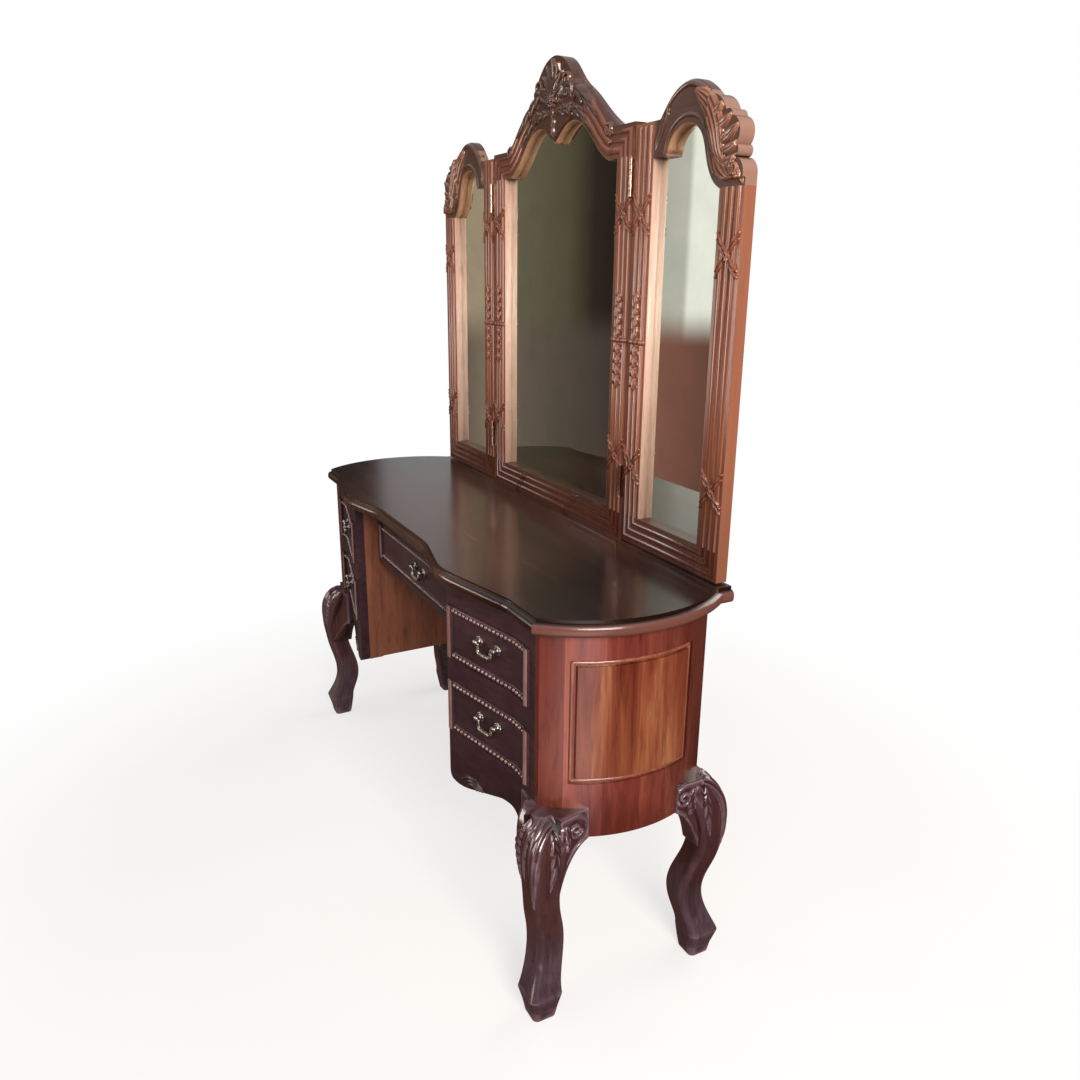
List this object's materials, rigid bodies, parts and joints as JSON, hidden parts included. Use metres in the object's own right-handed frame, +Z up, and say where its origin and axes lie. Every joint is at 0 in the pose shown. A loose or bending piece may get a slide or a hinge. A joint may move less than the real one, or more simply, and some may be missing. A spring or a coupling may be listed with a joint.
{
  "type": "vanity desk",
  "caption": "Kneehole vanity desk on cabriole legs, with serpentine front, drawers in two pedestals and a frieze, bail pulls and a folding triple mirror.",
  "frame": {"origin": "on the floor, under the middle of the desk's overall box", "axes": "+X to the sitter's right along the desk, +Y to the back, +Z up"},
  "size_m": [1.389, 0.436, 1.717],
  "materials": {
    "mahogany_top": "polished",
    "mahogany_case": "satin",
    "mahogany_legs": "polished",
    "end_veneer": "satin",
    "mirror_frame": "satin",
    "inner_wood": "plain",
    "silvered_glass": "polished",
    "aged_brass": "antique",
    "hinge_brass": "satin",
    "strap_steel": "plain"
  },
  "bodies": {
    "desk": {"desk_top": "mahogany_top", "kneehole_frieze": "mahogany_case", "kneehole_rear_rail": "inner_wood", "drawer_runners": "inner_wood", "mirror_stiles": "mirror_frame", "mirror_bottom_rail": "mirror_frame", "mirror_crest": "mirror_frame", "mirror_glass": "silvered_glass", "mirror_back_board": "inner_wood", "mirror_straps": "strap_steel", "leg_front_right": "mahogany_legs", "leg_back_right": "mahogany_legs", "end_frame_right": "end_veneer", "end_panel_right": "end_veneer", "front_frame_right": "mahogany_case", "inner_side_right": "end_veneer", "pedestal_back_right": "inner_wood", "pedestal_bottom_right": "inner_wood", "hinge_fixed_right": "hinge_brass", "leg_front_left": "mahogany_legs", "leg_back_left": "mahogany_legs", "end_frame_left": "end_veneer", "end_panel_left": "end_veneer", "front_frame_left": "mahogany_case", "inner_side_left": "end_veneer", "pedestal_back_left": "inner_wood", "pedestal_bottom_left": "inner_wood", "hinge_fixed_left": "hinge_brass"},
    "wing_right": {"wing_stiles_right": "mirror_frame", "wing_bottom_rail_right": "mirror_frame", "wing_arch_right": "mirror_frame", "wing_glass_right": "silvered_glass", "wing_back_board_right": "inner_wood", "hinge_wing_right": "hinge_brass"},
    "wing_left": {"wing_stiles_left": "mirror_frame", "wing_bottom_rail_left": "mirror_frame", "wing_arch_left": "mirror_frame", "wing_glass_left": "silvered_glass", "wing_back_board_left": "inner_wood", "hinge_wing_left": "hinge_brass"},
    "upper_drawer_right": {"upper_drawer_front_right": "mahogany_case", "upper_drawer_box_right": "inner_wood", "upper_right_pull": "aged_brass"},
    "upper_bail_right": {"upper_right_bail": "aged_brass"},
    "upper_drawer_left": {"upper_drawer_front_left": "mahogany_case", "upper_drawer_box_left": "inner_wood", "upper_left_pull": "aged_brass"},
    "upper_bail_left": {"upper_left_bail": "aged_brass"},
    "lower_drawer_right": {"lower_drawer_front_right": "mahogany_case", "lower_drawer_box_right": "inner_wood", "lower_right_pull": "aged_brass"},
    "lower_bail_right": {"lower_right_bail": "aged_brass"},
    "lower_drawer_left": {"lower_drawer_front_left": "mahogany_case", "lower_drawer_box_left": "inner_wood", "lower_left_pull": "aged_brass"},
    "lower_bail_left": {"lower_left_bail": "aged_brass"},
    "centre_drawer": {"centre_drawer_front": "mahogany_case", "centre_drawer_box": "inner_wood", "centre_pull": "aged_brass"},
    "centre_bail": {"centre_bail": "aged_brass"}
  },
  "joints": [
    {"name": "upper_drawer_slide_right", "type": "slide", "parent": "desk", "child": "upper_drawer_right", "axis": [0, -1, 0], "range_m": [0, 0.23]},
    {"name": "upper_bail_swing_right", "type": "hinge", "parent": "upper_drawer_right", "child": "upper_bail_right", "pos_m": [0.44283, -0.18441, 0.6455], "axis": [-0.9774, -0.2115, 0], "range_deg": [0, 90]},
    {"name": "upper_drawer_slide_left", "type": "slide", "parent": "desk", "child": "upper_drawer_left", "axis": [0, -1, 0], "range_m": [0, 0.23]},
    {"name": "upper_bail_swing_left", "type": "hinge", "parent": "upper_drawer_left", "child": "upper_bail_left", "pos_m": [-0.44283, -0.18441, 0.6455], "axis": [-0.9774, 0.2115, 0], "range_deg": [0, 90]},
    {"name": "lower_drawer_slide_right", "type": "slide", "parent": "desk", "child": "lower_drawer_right", "axis": [0, -1, 0], "range_m": [0, 0.23]},
    {"name": "lower_bail_swing_right", "type": "hinge", "parent": "lower_drawer_right", "child": "lower_bail_right", "pos_m": [0.44283, -0.18441, 0.4905], "axis": [-0.9774, -0.2115, 0], "range_deg": [0, 90]},
    {"name": "lower_drawer_slide_left", "type": "slide", "parent": "desk", "child": "lower_drawer_left", "axis": [0, -1, 0], "range_m": [0, 0.23]},
    {"name": "lower_bail_swing_left", "type": "hinge", "parent": "lower_drawer_left", "child": "lower_bail_left", "pos_m": [-0.44283, -0.18441, 0.4905], "axis": [-0.9774, 0.2115, 0], "range_deg": [0, 90]},
    {"name": "centre_drawer_slide", "type": "slide", "parent": "desk", "child": "centre_drawer", "axis": [0, -1, 0], "range_m": [0, 0.17]},
    {"name": "centre_bail_swing", "type": "hinge", "parent": "centre_drawer", "child": "centre_bail", "pos_m": [0, -0.151, 0.65], "axis": [-1, 0, 0], "range_deg": [0, 90]},
    {"name": "wing_hinge_right", "type": "hinge", "parent": "desk", "child": "wing_right", "pos_m": [0.305, 0.1832, 1.15], "axis": [0, 0, -1], "range_deg": [0, 120]},
    {"name": "wing_hinge_left", "type": "hinge", "parent": "desk", "child": "wing_left", "pos_m": [-0.305, 0.1832, 1.15], "axis": [0, 0, 1], "range_deg": [0, 120]}
  ]
}
